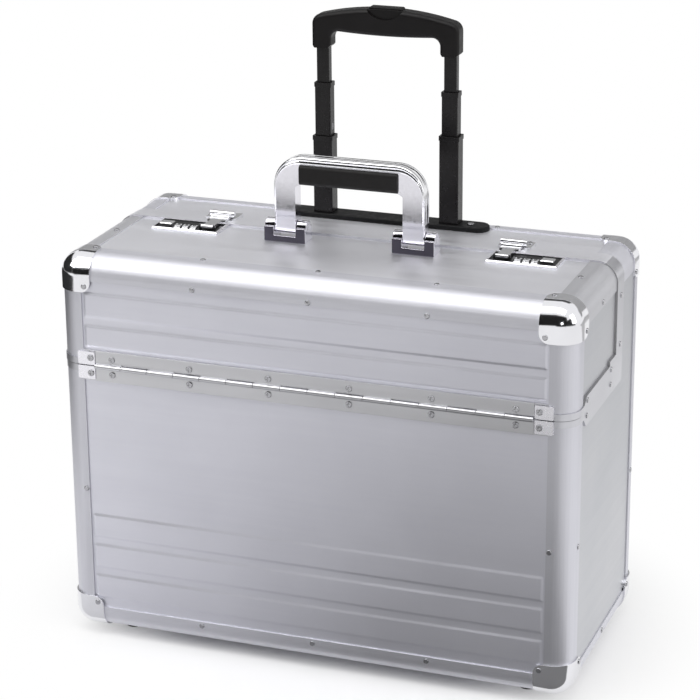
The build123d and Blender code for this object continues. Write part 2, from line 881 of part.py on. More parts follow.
bar_y = roll_y + hasp_roll_radius + striker_play + striker_bar_radius
bar_z = panel_top + striker_rise
rim_top = top + case_rim_proud
bar_x = (hasp_x - striker_bar_length / 2, hasp_x + striker_bar_length / 2)
foot_x = (bar_x[0] - striker_lead, bar_x[0] - striker_lead + striker_length)
foot_y = (bar_y - striker_bar_radius, bar_y - striker_bar_radius + striker_depth)
with BuildPart() as strikers:
    box(foot_x, foot_y, (rim_top, rim_top + striker_base))
    box(foot_x, (case_rim_back, foot_y[1]), (panel_top, rim_top + striker_base))
    box(bar_x, (bar_y - striker_web / 2, bar_y + striker_web / 2), (rim_top, bar_z))
    rod(striker_bar_radius, bar_x, bar_y, bar_z)
    mirror(about=Plane.YZ)
write(strikers, "strikers")

# Number dials
ten_notches = 10
notch_radius = 0.5
for side, side_name in ((-1, "left"), (1, "right")):
    for i, x in enumerate(dial_x):
        with BuildPart() as dial:
            with BuildSketch(Plane.YZ.offset(side * x)):
                with Locations((dial_y, dial_z)):
                    Circle(dial_radius)
                    Circle(dial_shaft_radius + dial_running, mode=Mode.SUBTRACT)
                    with PolarLocations(dial_radius, ten_notches, 360 / ten_notches / 2):
                        Circle(notch_radius, mode=Mode.SUBTRACT)
            extrude(amount=dial_width / 2, both=True)
        write(dial, f"dial_{side_name}_{i + 1}")

with BuildPart() as lid_pins:
    span = (handle_x - bracket_width / 2, handle_x + bracket_width / 2)
    rod(handle_pin_radius, span, handle_axis_back, handle_z)
    rod(hasp_pin_radius, (ear_low[0], ear_high[1]), hasp_axis_back, hasp_z)
    rod(dial_shaft_radius, housing_x, dial_y, dial_z)
    mirror(about=Plane.YZ)
write(lid_pins, "lid_pins")


# Trolley tubes, from the inside out
def tube_size(stage):
    """Outside width and depth of a tube; stage 3 is the innermost and stage 0 the fixed one."""
    steps = 3 - stage
    growth = 2 * steps * (tube_wall + tube_play)
    return inner_tube_width + growth, inner_tube_depth + growth


def tube(x, stage, low, high):
    """A rectangular tube standing at one side of the trolley."""
    width, depth = tube_size(stage)
    with BuildSketch(Plane.XY.offset(low)) as section:
        with Locations((x, trolley_back)):
            RectangleRounded(width, depth, tube_corner)
            Rectangle(width - 2 * tube_wall, depth - 2 * tube_wall, mode=Mode.SUBTRACT)
    extrude(section.sketch, amount=high - low)


def collar(x, stage, high):
    """The plastic sleeve round the mouth of a tube; it guides the next tube inside."""
    width, depth = tube_size(stage)
    with BuildSketch(Plane.XY.offset(high - collar_height)) as section:
        with Locations((x, trolley_back)):
            RectangleRounded(width + 2 * collar_wall, depth + 2 * collar_wall, tube_corner + collar_wall)
            Rectangle(width, depth, mode=Mode.SUBTRACT)
    extrude(section.sketch, amount=collar_height)


bezel_bottom = panel_top
bezel_top = top + bezel_rise
foot_bar_low = bottom + slot_depth
tube_low = foot_bar_low + foot_bar_height / 2
with BuildPart() as trolley_outer_tubes:
    for x in leg_x:
        tube(x, 0, tube_low, bezel_bottom + profile_wall)
write(trolley_outer_tubes, "trolley_outer_tubes")

with BuildPart() as trolley_foot_bar:
    box(
        (leg_x[0] - tube_outer[0] / 2 - foot_bar_overhang, leg_x[1] + tube_outer[0] / 2 + foot_bar_overhang),
        (trolley_back - tube_outer[1] / 2 - slot_lip, trolley_back + tube_outer[1] / 2 + slot_lip),
        (foot_bar_low, foot_bar_low + foot_bar_height),
    )
    for x in leg_x:
        box((x - tube_outer[0] / 2, x + tube_outer[0] / 2),
            (trolley_back - tube_outer[1] / 2, trolley_back + tube_outer[1] / 2),
            (tube_low, top), Mode.SUBTRACT)
write(trolley_foot_bar, "trolley_foot_bar")

first_size = tube_size(1)
with BuildPart() as trolley_bezel:
    with BuildSketch(Plane.XY.offset(bezel_bottom)):
        with Locations((0, trolley_back - bezel_shift)):
            SlotOverall(bezel_length, bezel_width)
    extrude(amount=bezel_top - bezel_bottom)
    chamfer(trolley_bezel.faces().sort_by(Axis.Z)[-1].edges(), bezel_rise / 4)
    box((-half_width, half_width), (half_depth - side_leg, half_depth), (bezel_bottom, top), Mode.SUBTRACT)
    for x in leg_x:
        box((x - tube_outer[0] / 2, x + tube_outer[0] / 2),
            (trolley_back - tube_outer[1] / 2, trolley_back + tube_outer[1] / 2),
            (bezel_bottom, bezel_bottom + profile_wall), Mode.SUBTRACT)
        box((x - first_size[0] / 2 - tube_play, x + first_size[0] / 2 + tube_play),
            (trolley_back - first_size[1] / 2 - tube_play, trolley_back + first_size[1] / 2 + tube_play),
            (bezel_bottom, bezel_top), Mode.SUBTRACT)
write(trolley_bezel, "trolley_bezel")

stage_tops = (top + stage_one_top, top + stage_two_top)
with BuildPart() as trolley_stage_one:
    for x, high in zip(leg_x, (stage_tops[0], stage_tops[0] + stage_one_lead)):
        tube(x, 1, high - stage_length, high)
        collar(x, 1, high)
write(trolley_stage_one, "trolley_stage_one")

with BuildPart() as trolley_stage_two:
    for x in leg_x:
        tube(x, 2, stage_tops[1] - stage_length, stage_tops[1])
        collar(x, 2, stage_tops[1])
write(trolley_stage_two, "trolley_stage_two")

grip_low = top + grip_leg_bottom
with BuildPart() as trolley_stage_three:
    for x in leg_x:
        tube(x, 3, grip_low + socket_depth - stage_length, grip_low + socket_depth)
write(trolley_stage_three, "trolley_stage_three")

grip_out = (trolley_pitch + grip_leg_width) / 2
grip_in = (trolley_pitch - grip_leg_width) / 2
grip_top = top + grip_crest
shoulder_z = top + grip_shoulder
under_z = top + grip_under
grip_front = trolley_back - grip_body_depth / 2
dish_radius = (dish_half**2 + dish_height**2) / (2 * dish_height)
with BuildPart() as trolley_grip:
    with BuildSketch(Plane(origin=(trolley_shift, trolley_back, 0), x_dir=(1, 0, 0), z_dir=(0, -1, 0))):
        with BuildLine():
            Polyline((-grip_out, shoulder_z), (-grip_out, grip_low))
            Polyline((-grip_out, grip_low), (-grip_in, grip_low), (-grip_in, under_z))
            ThreePointArc((-grip_in, under_z), (0, under_z - grip_sag), (grip_in, under_z))
            Polyline((grip_in, under_z), (grip_in, grip_low), (grip_out, grip_low), (grip_out, shoulder_z))
            ThreePointArc((grip_out, shoulder_z), (0, grip_top), (-grip_out, shoulder_z))
        make_face()
        fillet(vertices().sort_by(Axis.Y)[-2:], grip_shoulder_round)
        fillet(vertices().filter_by_position(Axis.Y, under_z - 1, under_z + 1), grip_inner_round)
        chamfer(vertices().sort_by(Axis.Y)[:4], grip_toe)
    extrude(amount=grip_body_depth / 2, both=True)
    flat = grip_body_depth / 2 - tube_play
    rims = trolley_grip.edges().filter_by(lambda e: abs(e.center().Y - trolley_back) > flat)
    fillet(rims.filter_by(lambda e: e.center().Z > grip_low + grip_toe), grip_round)
    inner_size = tube_size(3)
    for x in leg_x:
        box((x - inner_size[0] / 2, x + inner_size[0] / 2),
            (trolley_back - inner_size[1] / 2, trolley_back + inner_size[1] / 2),
            (grip_low, grip_low + socket_depth), Mode.SUBTRACT)
    box((trolley_shift - push_length / 2 - push_play, trolley_shift + push_length / 2 + push_play),
        (trolley_back - push_width / 2 - push_play, trolley_back + push_width / 2 + push_play),
        (grip_top - push_pocket, grip_top + push_pocket), Mode.SUBTRACT)
    with Locations(Location((trolley_shift, grip_front, grip_top - dish_height + dish_radius), (90, 0, 0))):
        Cylinder(dish_radius, 2 * dish_depth, mode=Mode.SUBTRACT)
write(trolley_grip, "trolley_grip")

push_low = grip_top - push_pocket + push_travel + push_play
with BuildPart() as trolley_button:
    box((trolley_shift - push_length / 2, trolley_shift + push_length / 2),
        (trolley_back - push_width / 2, trolley_back + push_width / 2),
        (push_low, grip_top + push_rise))
    fillet(trolley_button.faces().sort_by(Axis.Z)[-1].edges(), push_rise)
write(trolley_button, "trolley_button")

# Wheels, their housings and the front feet
with BuildPart() as wheel_housings:
    add(case_block(housing_proud))
    box(housing_edge, (housing_front, beyond), (0, housing_top), Mode.INTERSECT)
    rod(wheel_radius + wheel_clearance,
        (wheel_x - wheel_width / 2 - wheel_clearance, wheel_x + wheel_width / 2 + wheel_clearance),
        axle_y, axle_z, Mode.SUBTRACT)
    rod(axle_radius + wheel_running, housing_edge, axle_y, axle_z, Mode.SUBTRACT)
    mirror(about=Plane.YZ)
write(wheel_housings, "wheel_housings")

with BuildPart() as wheel_axles:
    rod(axle_radius, housing_edge, axle_y, axle_z)
    mirror(about=Plane.YZ)
write(wheel_axles, "wheel_axles")

spoke_holes = 6
for side, side_name in ((-1, "left"), (1, "right")):
    with BuildPart() as hub:
        with BuildSketch(Plane.YZ.offset(side * wheel_x)):
            with Locations((axle_y, axle_z)):
                Circle(wheel_hub_radius)
                Circle(axle_radius + wheel_running, mode=Mode.SUBTRACT)
                with PolarLocations((wheel_hub_radius + axle_radius) / 2, spoke_holes):
                    Circle((wheel_hub_radius - axle_radius) / 4, mode=Mode.SUBTRACT)
        extrude(amount=wheel_width / 2, both=True)
    write(hub, f"wheel_hub_{side_name}")
    with BuildPart() as tyre:
        with BuildSketch(Plane.YZ.offset(side * wheel_x)):
            with Locations((axle_y, axle_z)):
                Circle(wheel_radius)
                Circle(wheel_hub_radius, mode=Mode.SUBTRACT)
        extrude(amount=wheel_width / 2, both=True)
        rims = tyre.edges().filter_by(GeomType.CIRCLE).filter_by(lambda e: e.radius > wheel_hub_radius + 1)
        fillet(rims, (wheel_radius - wheel_hub_radius) / 4)
    write(tyre, f"tyre_{side_name}")

with BuildPart() as front_feet:
    with Locations((half_width - foot_inset_x, -half_depth + foot_inset_y, floor_out / 2)):
        Cylinder(foot_radius, floor_out)
    chamfer(front_feet.faces().sort_by(Axis.Z)[0].edges(), foot_toe)
    mirror(about=Plane.YZ)
write(front_feet, "front_feet")

# Inside: false wall in front of the trolley tubes, linings of case and lid
lining_x = side_in - slot_lip - lining_gap
lining_front = -half_depth + slot_depth + lining_gap
lining_low = bottom + slot_depth + lining_gap
lining_high = top - slot_depth - lining_gap
wall_back = housing_front - lining_gap
wall_y = (wall_back - false_wall_thickness, wall_back)
with BuildPart() as false_wall:
    box((-lining_x, lining_x), wall_y, (lining_low, lining_high))
    fillet(false_wall.edges().filter_by(Axis.Y), lining_round)
write(false_wall, "false_wall")


def hollow(inset):
    """The rounded inside of the case, drawn in by a distance."""
    with BuildPart() as inside:
        box(
            (-lining_x + inset, lining_x - inset),
            (lining_front + inset, wall_y[0] - inset),
            (lining_low + inset, lining_high - inset),
        )
        fillet(inside.edges(), lining_round - inset)
    return inside.part


with BuildPart() as body_lining:
    add(hollow(0))
    add(hollow(lining_thickness), mode=Mode.SUBTRACT)
    box(
        (-half_width, half_width),
        (-half_depth, parting_back + slot_depth),
        (case_seam - rim_web, top),
        Mode.SUBTRACT,
    )
write(body_lining, "body_lining")

with BuildPart() as lid_lining:
    add(hollow(0))
    add(hollow(lining_thickness), mode=Mode.SUBTRACT)
    box(
        (-half_width, half_width),
        (-half_depth, lid_back_seam - rim_web),
        (lid_seam + rim_web, top),
        Mode.INTERSECT,
    )
    cut_lock_housings(lining_gap, housing_low - lining_gap)
write(lid_lining, "lid_lining")

# Rivets and screws
rows = (-rivet_pitch, 0, rivet_pitch)
rivet_x = half_width - rivet_inset
rivet_y = half_depth - rivet_inset
front_face = (0, -1, 0)
back_face = (0, 1, 0)
up_face = (0, 0, 1)
cap_x = half_width - cap_rivet_inset
cap_y = half_depth - cap_rivet_inset
leaf_steps = (1, 3, 5)
leaf_screw_step = (hinge_half - leaf_screw_inset) / leaf_steps[-1]
leaf_rows = [sign * step * leaf_screw_step for sign in (-1, 1) for step in leaf_steps]
plate_screw_x = hinge_half + plate_screw_inset


def cap_rivets(points_y, points_z):
    """Rivets of the ball corners at the given ends, three in each, on the right side."""
    for end_y in points_y:
        for end_z in points_z:
            z = top - cap_rivet_inset if end_z > 0 else bottom + cap_rivet_inset
            level = top + cap_proud if end_z > 0 else bottom - cap_proud
            set_heads(rivet_head, [(cap_x, end_y * (half_depth + cap_proud), z)], (0, end_y, 0))
            set_heads(rivet_head, [(half_width + cap_proud, end_y * cap_y, z)], (1, 0, 0))
            set_heads(rivet_head, [(cap_x, end_y * cap_y, level)], (0, 0, end_z))


with BuildPart() as body_fasteners:
    cap_rivets((-1,), (-1,))
    cap_rivets((1,), (-1, 1))
    mid_z = bottom + mid_rivet_height
    set_heads(rivet_head, [(rivet_x, -half_depth, mid_z)], front_face)
    set_heads(rivet_head, [(half_width, y, mid_z) for y in (-rivet_y, rivet_y)], (1, 0, 0))
    set_heads(rivet_head, [(half_width, 0, bottom + base_rivet_rise)], (1, 0, 0))
    rim_out = half_width + case_rim_proud
    rim_side_z = parting - rim_rivet_inset
    rim_side_y = parting_back + rim_rivet_inset
    rim_ys = (-half_depth + rim_rivet_front, parting_back - rim_rivet_back)
    rim_zs = (parting + rim_rivet_above, top - rim_rivet_below)
    set_heads(rivet_head, [(rim_out, y, rim_side_z) for y in rim_ys], (1, 0, 0))
    set_heads(rivet_head, [(rim_out, rim_side_y, z) for z in rim_zs], (1, 0, 0))
    mirror(about=Plane.YZ)
    set_heads(rivet_head, [(x, -half_depth, bottom + base_rivet_rise) for x in rows], front_face)
    set_heads(rivet_head, [(x, half_depth, bottom + base_rivet_rise) for x in rows], back_face)
    set_heads(rivet_head, [(x, half_depth, top - rivet_inset) for x in rows], back_face)
    set_heads(rivet_head, [(x, rivet_y, top) for x in (-rivet_pitch, rivet_pitch)], up_face)
    set_heads(screw_head, [(x, leaf_front, parting - leaf_screw_height) for x in leaf_rows], front_face)
    ends = (-plate_screw_x, plate_screw_x)
    plate_face = -half_depth - plate_thickness
    set_heads(screw_head, [(x, plate_face, parting - leaf_screw_height) for x in ends], front_face)
    bezel_ends = [sign * (bezel_length / 2 - bezel_screw_inset) for sign in (-1, 1)]
    set_heads(screw_head, [(x, trolley_back - bezel_shift, bezel_top) for x in bezel_ends], up_face)
    striker_screw = (foot_x[1] - screw_radius * 1.5, foot_y[1] - screw_radius * 1.5)
    ends = (-striker_screw[0], striker_screw[0])
    set_heads(screw_head, [(x, striker_screw[1], rim_top + striker_base) for x in ends], up_face)
write(body_fasteners, "body_fasteners")

with BuildPart() as lid_fasteners:
    cap_rivets((-1,), (1,))
    rim_out = half_width + lid_rim_proud
    set_heads(rivet_head, [(rim_out, y, parting + lid_rim_rivet_rise) for y in rim_ys], (1, 0, 0))
    lid_rivet_y = parting_back - lid_rivet_back
    set_heads(rivet_head, [(half_width, lid_rivet_y, top - rivet_inset)], (1, 0, 0))
    set_heads(rivet_head, [(rivet_x, lid_rivet_y, top)], up_face)
    mirror(about=Plane.YZ)
    set_heads(rivet_head, [(x, -half_depth, top - base_leg + rivet_radius) for x in rows], front_face)
    set_heads(rivet_head, [(x, -half_depth + crown_leg - rivet_radius - 1, top) for x in rows], up_face)
    set_heads(screw_head, [(x, leaf_front, parting + leaf_screw_height) for x in leaf_rows], front_face)
    ends = (-plate_screw_x, plate_screw_x)
    set_heads(screw_head, [(x, plate_face, parting + leaf_screw_height) for x in ends], front_face)
write(lid_fasteners, "lid_fasteners")
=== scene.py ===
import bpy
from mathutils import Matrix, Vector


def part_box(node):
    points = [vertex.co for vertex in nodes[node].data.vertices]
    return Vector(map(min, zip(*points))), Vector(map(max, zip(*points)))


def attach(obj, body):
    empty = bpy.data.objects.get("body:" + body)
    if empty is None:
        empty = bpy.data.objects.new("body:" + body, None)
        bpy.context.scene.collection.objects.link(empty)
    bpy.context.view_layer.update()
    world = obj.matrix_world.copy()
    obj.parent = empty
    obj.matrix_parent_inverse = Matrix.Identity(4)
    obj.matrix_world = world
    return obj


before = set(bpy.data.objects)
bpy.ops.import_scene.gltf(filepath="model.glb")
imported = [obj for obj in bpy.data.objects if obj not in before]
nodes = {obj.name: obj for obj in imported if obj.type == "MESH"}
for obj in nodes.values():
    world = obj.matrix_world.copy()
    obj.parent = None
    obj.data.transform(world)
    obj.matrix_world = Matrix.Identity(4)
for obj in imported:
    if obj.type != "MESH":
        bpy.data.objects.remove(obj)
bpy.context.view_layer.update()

from math import cos, pi, radians, sin

import bmesh
import bpy
from mathutils import Matrix, Vector

scene = bpy.context.scene
mm = 0.001


def box_mm(node):
    """Lowest and highest corner of a CAD node at rest, in millimetres."""
    return [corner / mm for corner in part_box(node)]


def add(name, data):
    """A new object in the scene."""
    obj = bpy.data.objects.new(name, data)
    scene.collection.objects.link(obj)
    return obj


# Materials

noise_span = (0.3, 0.7)


def shader_node(tree, kind, **values):
    """A new shader node; each value goes to the input of that name, or else to the setting."""
    made = tree.nodes.new(kind)
    for key, value in values.items():
        socket = made.inputs.get(key.replace("_", " "))
        if socket is None:
            setattr(made, key, value)
        else:
            socket.default_value = value
    return made


class Finish:
    """A principled material with small helpers for its texture nodes."""

    def __init__(self, name, color, metallic=0.0, roughness=0.5, **sockets):
        self.material = bpy.data.materials.new(name)
        self.material.use_nodes = True
        self.tree = self.material.node_tree
        self.link = self.tree.links.new
        self.shader = self.tree.nodes["Principled BSDF"]
        self.place = shader_node(self.tree, "ShaderNodeTexCoord")
        sockets.update(Base_Color=(*color, 1), Metallic=metallic, Roughness=roughness)
        for socket, value in sockets.items():
            self.shader.inputs[socket.replace("_", " ")].default_value = value

    def noise(self, scale, detail, stretch=(1, 1, 1)):
        """Noise in the object's own coordinates, which are scaled along each axis."""
        mapping = shader_node(self.tree, "ShaderNodeMapping", Scale=stretch)
        made = shader_node(self.tree, "ShaderNodeTexNoise", Scale=scale, Detail=detail)
        self.link(self.place.outputs["Object"], mapping.inputs["Vector"])
        self.link(mapping.outputs["Vector"], made.inputs["Vector"])
        return made.outputs["Fac"]

    def colors(self, value, dark, light, span=noise_span):
        """Base colour between two tones by a texture's value."""
        ramp = shader_node(self.tree, "ShaderNodeValToRGB")
        for element, position, tone in zip(ramp.color_ramp.elements, span, (dark, light)):
            element.position = position
            element.color = (*tone, 1)
        self.link(value, ramp.inputs["Fac"])
        self.link(ramp.outputs["Color"], self.shader.inputs["Base Color"])

    def rough(self, value, low, high):
        """Roughness between two values by a texture's value."""
        start, end = noise_span
        spread = shader_node(
            self.tree, "ShaderNodeMapRange", From_Min=start, From_Max=end, To_Min=low, To_Max=high)
        self.link(value, spread.inputs["Value"])
        self.link(spread.outputs["Result"], self.shader.inputs["Roughness"])

    def bump(self, value, depth, strength):
        """Relief of the given depth in millimetres, on top of any relief there is."""
        made = shader_node(self.tree, "ShaderNodeBump", Distance=depth * mm, Strength=strength)
        normal = self.shader.inputs["Normal"]
        self.link(value, made.inputs["Height"])
        if normal.is_linked:
            self.link(normal.links[0].from_socket, made.inputs["Normal"])
        self.link(made.outputs["Normal"], normal)


def aluminium(name, dark, light, low, high, grain):
    """Anodised sheet or extrusion: cloudy tone, fine drawn lines along the grain, a slight pebble."""
    finish = Finish(name, light, metallic=1.0, roughness=high)
    clouds = finish.noise(9, 4)
    drawn_lines = finish.noise(260, 3, grain)
    fine_lines = finish.noise(1600, 2, grain)
    pebble = finish.noise(3200, 2)
    finish.colors(clouds, dark, light)
    finish.rough(drawn_lines, low, high)
    finish.bump(fine_lines, 0.01, 0.25)
    finish.bump(pebble, 0.008, 0.4)
    return finish.material


def chrome(name, color, low, high):
    """Polished plating with a faint haze, hairlines and slightly uneven reflections."""
    finish = Finish(name, color, metallic=1.0, roughness=low)
    haze = finish.noise(35, 3)
    hairlines = finish.noise(420, 4, (1, 0.2, 1))
    waves = finish.noise(55, 2)
    finish.colors(haze, tuple(0.93 * c for c in color), color)
    finish.rough(hairlines, low, high)
    finish.bump(waves, 0.05, 0.25)
    return finish.material


def plastic(name, dark, light, low, high, grain_scale, grain_depth, metallic=0.0, gloss=0.3):
    """Moulded or coated dark surface with grain of a depth in millimetres."""
    finish = Finish(name, light, metallic=metallic, roughness=high, Specular_IOR_Level=gloss)
    clouds = finish.noise(30, 4)
    patches = finish.noise(180, 3)
    grain = finish.noise(grain_scale, 3)
    finish.colors(clouds, dark, light)
    finish.rough(patches, low, high)
    finish.bump(grain, grain_depth, 0.6)
    return finish.material


def velour(name, dark, light):
    """Soft cloth with a short pile."""
    finish = Finish(name, light, roughness=0.9, Sheen_Weight=0.6, Sheen_Roughness=0.4)
    patches = finish.noise(60, 5)
    pile = finish.noise(1400, 4)
    finish.colors(patches, dark, light)
    finish.bump(pile, 0.25, 0.7)
    return finish.material


# Grain of drawn metal: stretched along one axis
along_x, along_y, along_z = (0.03, 1, 1), (1, 0.03, 1), (1, 1, 0.02)

panel = aluminium("panel_aluminium", (0.79, 0.79, 0.855), (0.84, 0.84, 0.905), 0.46, 0.54, along_x)
# A lighter copy of the panel aluminium for the top, which is painted light
painted_light_top_panel = aluminium("painted_light_top_panel", (0.86, 0.86, 0.90), (0.91, 0.91, 0.95), 0.46, 0.54, along_x)
side_sheet = aluminium("side_aluminium", (0.60, 0.61, 0.64), (0.65, 0.655, 0.68), 0.46, 0.54, along_y)
profile_x = aluminium("profile_x", (0.74, 0.74, 0.79), (0.79, 0.79, 0.84), 0.50, 0.58, (0.02, 1, 1))
profile_z = aluminium("profile_z", (0.68, 0.68, 0.73), (0.74, 0.74, 0.79), 0.46, 0.54, along_z)
profile_y = aluminium("profile_y", (0.66, 0.66, 0.69), (0.72, 0.72, 0.75), 0.46, 0.54, (1, 0.02, 1))
rim = aluminium("rim_aluminium", (0.60, 0.60, 0.635), (0.66, 0.66, 0.695), 0.30, 0.38, (1, 0.05, 0.05))
tube_alu = aluminium("tube_aluminium", (0.60, 0.60, 0.62), (0.66, 0.66, 0.68), 0.30, 0.40, along_z)
hinge_leaf = aluminium("hinge_leaf", (0.58, 0.58, 0.60), (0.64, 0.64, 0.66), 0.30, 0.38, along_x)
hinge_steel = aluminium("hinge_steel", (0.74, 0.74, 0.77), (0.82, 0.82, 0.85), 0.26, 0.34, along_x)

cap_chrome = chrome("corner_chrome", (0.84, 0.84, 0.87), 0.10, 0.14)
lock_chrome = chrome("lock_chrome", (0.86, 0.86, 0.88), 0.05, 0.10)
handle_chrome = chrome("handle_chrome", (0.80, 0.79, 0.84), 0.08, 0.12)
# Dark plating on the brackets' fronts is a painted dark reflection
bracket_front_painted_reflection = chrome("bracket_front_painted_reflection", (0.085, 0.08, 0.10), 0.10, 0.16)
dial_light = chrome("dial_light", (0.74, 0.74, 0.76), 0.24, 0.32)
# The rivets' plating is darkened as a painted dark reflection
rivet_dark_reflection = chrome("rivet_dark_reflection", (0.44, 0.44, 0.46), 0.08, 0.14)
plate_bright = chrome("plate_bright", (0.93, 0.92, 0.97), 0.24, 0.32)

# Dark grey painted shade: the shaded step along the lid rim and the inside of the trolley tube's hole
painted_step_and_hole_shade = plastic("painted_step_and_hole_shade", (0.23, 0.23, 0.24), (0.28, 0.28, 0.29), 0.5, 0.6, 900, 0.02)
bezel_black = plastic(
    "bezel_black", (0.004, 0.004, 0.0045), (0.007, 0.007, 0.0075), 0.42, 0.55, 1500, 0.03, gloss=0.15)
tube_black = plastic("tube_black", (0.004, 0.0032, 0.0035), (0.007, 0.006, 0.0065), 0.25, 0.34, 1400, 0.01)
grip_black = plastic(
    "grip_black", (0.004, 0.0033, 0.0035), (0.007, 0.006, 0.0063), 0.38, 0.48, 1800, 0.03, gloss=0.22)
insert_black = plastic("insert_black", (0.004, 0.0033, 0.0033), (0.007, 0.006, 0.006), 0.5, 0.62, 1100, 0.05)
wheel_black = plastic("wheel_black", (0.012, 0.012, 0.013), (0.02, 0.02, 0.022), 0.35, 0.5, 900, 0.06)
tyre_rubber = plastic("tyre_rubber", (0.018, 0.018, 0.018), (0.03, 0.03, 0.03), 0.6, 0.75, 700, 0.12)
foot_rubber = plastic("foot_rubber", (0.015, 0.015, 0.015), (0.025, 0.025, 0.025), 0.6, 0.8, 800, 0.1)
# Painted shade for the inside of the lock recesses
painted_recess_shade = plastic(
    "lock_recess", (0.02, 0.02, 0.022), (0.04, 0.04, 0.042), 0.3, 0.42, 700, 0.04, metallic=0.8)
board = plastic("lining_board", (0.02, 0.02, 0.022), (0.035, 0.035, 0.038), 0.6, 0.8, 500, 0.1)
figure_ink = plastic("figure_ink", (0.01, 0.01, 0.01), (0.02, 0.02, 0.02), 0.4, 0.5, 900, 0.01)
lining = velour("lining_velour", (0.022, 0.022, 0.026), (0.045, 0.045, 0.05))


# CAD nodes

# The finish of every node, and the width of the small round on its edges in millimetres
looks = {
    "front_panel": (panel, 0.7), "lid_front_panel": (panel, 0.7), "back_panel": (panel, 0),
    "bottom_panel": (panel, 0), "rear_top_panel": (painted_light_top_panel, 0), "lid_top_panel": (painted_light_top_panel, 0),
    "side_panel_left": (side_sheet, 0), "side_panel_right": (side_sheet, 0), "lid_cheeks": (side_sheet, 0),
    "corner_profiles": (profile_z, 0.15), "lid_corner_profiles": (profile_z, 0.15),
    "bottom_edge_profiles": (profile_x, 0.15), "rear_top_edge_profiles": (profile_x, 0.15),
    "lid_front_top_profile": (profile_x, 0.15), "lid_top_side_profiles": (profile_y, 0.15),
    "body_rim": (rim, 0.3), "lid_rim": (rim, 0.4),
    "body_corner_caps": (cap_chrome, 0.4), "lid_corner_caps": (cap_chrome, 0.4),
    "body_fasteners": (rivet_dark_reflection, 0), "lid_fasteners": (rivet_dark_reflection, 0),
    "hinge_leaf_lower": (hinge_leaf, 0.2), "hinge_leaf_upper": (hinge_leaf, 0.2),
    "hinge_lower_plates": (plate_bright, 0.3), "hinge_upper_plates": (plate_bright, 0.3),
    "hinge_pin": (hinge_steel, 0),
    "strikers": (lock_chrome, 0.4), "lock_plates": (plate_bright, 0.2), "lid_pins": (hinge_steel, 0),
    "handle_brackets": (handle_chrome, 0.6), "carry_handle_frame": (handle_chrome, 0.4),
    "carry_handle_grip": (insert_black, 0),
    "trolley_bezel": (bezel_black, 0.3), "trolley_foot_bar": (bezel_black, 0),
    "trolley_outer_tubes": (tube_alu, 0), "trolley_stage_three": (tube_black, 0.2),
    "trolley_stage_one": (tube_black, 0.2), "trolley_stage_two": (tube_black, 0.2),
    "trolley_grip": (grip_black, 0), "trolley_button": (grip_black, 0.3),
    "wheel_housings": (bezel_black, 0.6), "wheel_axles": (hinge_steel, 0), "front_feet": (foot_rubber, 0.3),
    "body_lining": (lining, 0), "lid_lining": (lining, 0), "false_wall": (board, 0),
}
for side in ("left", "right"):
    looks[f"hasp_{side}"] = (lock_chrome, 0.4)
    looks[f"slider_{side}"] = (lock_chrome, 0.2)
    looks[f"wheel_hub_{side}"] = (wheel_black, 0.3)
    looks[f"tyre_{side}"] = (tyre_rubber, 0)
    for i in (1, 2, 3):
        looks[f"dial_{side}_{i}"] = (dial_light, 0.2)

fine_round = 0.05
weld_gap = 0.002
corner_angle = 32
band_angle = 14
pressed_sheets = ("front_panel", "lid_front_panel")


def smooth(obj, width, angle):
    """Smooth shading that keeps flat faces flat, with a small round on the corners."""
    for face in obj.data.polygons:
        face.use_smooth = True
    weld = obj.modifiers.new("weld", "WELD")
    weld.merge_threshold = weld_gap * mm
    bevel = obj.modifiers.new("round", "BEVEL")
    bevel.width = width * mm
    bevel.segments = 2
    bevel.limit_method = "ANGLE"
    bevel.angle_limit = radians(angle)
    bevel.harden_normals = True
    bevel.miter_outer = "MITER_ARC"
    bevel.loop_slide = False
    even = obj.modifiers.new("even", "WEIGHTED_NORMAL")
    even.mode = "FACE_AREA"
    even.weight = 80
    even.keep_sharp = True


for name, (finish, width) in looks.items():
    obj = nodes[name]
    obj.data.materials.clear()
    obj.data.materials.append(finish)
    smooth(obj, width or fine_round, band_angle if name in pressed_sheets else corner_angle)


# Second finishes on parts of a CAD node

def paint(name, material, chosen):
    """Gives a second finish to the faces of a CAD node whose centre and normal are chosen."""
    data = nodes[name].data
    data.materials.append(material)
    index = len(data.materials) - 1
    for face in data.polygons:
        if chosen(face.center / mm, face.normal):
            face.material_index = index


# Lock plates: all inside the bright border is painted dark as shade in the recess, and the walls outside
# match the top panel's lighter copy, which is painted light
lock_border = 1.7
lug_crown = 0.1
lock_low, lock_high = box_mm("lock_plates")
lock_near = min(abs(v.co.x) for v in nodes["lock_plates"].data.vertices) / mm


def in_lock_recess(c, n):
    """Whether a face lies inside the border of either plate and under the crown of the hasp's lugs."""
    inside_x = lock_near + lock_border < abs(c.x) < lock_high.x - lock_border
    inside_y = lock_low.y + lock_border < c.y < lock_high.y - lock_border
    return inside_x and inside_y and c.z < lock_high.z - lug_crown


def on_lock_wall(c, n):
    """Whether a face is an upright wall outside the recess."""
    return abs(n.z) < 0.1 and not in_lock_recess(c, n)


# Rims: painted light where they cross the top, in the top panel's lighter copy, and painted shade on the step
# along the lid's inner edge at the sides
rim_low, rim_high = box_mm("lid_rim")
top_low, top_high = box_mm("lid_top_panel")
side_front = box_mm("lid_top_side_profiles")[0].y
top_reach, shaded_step_drop = 1.8, 0.8
level_reach, rise_reach = 30, 33


def on_rim_top(c, n):
    """Whether a face of a rim looks up beside the top panels."""
    return n.z > 0.9 and c.z > top_low.z - top_reach


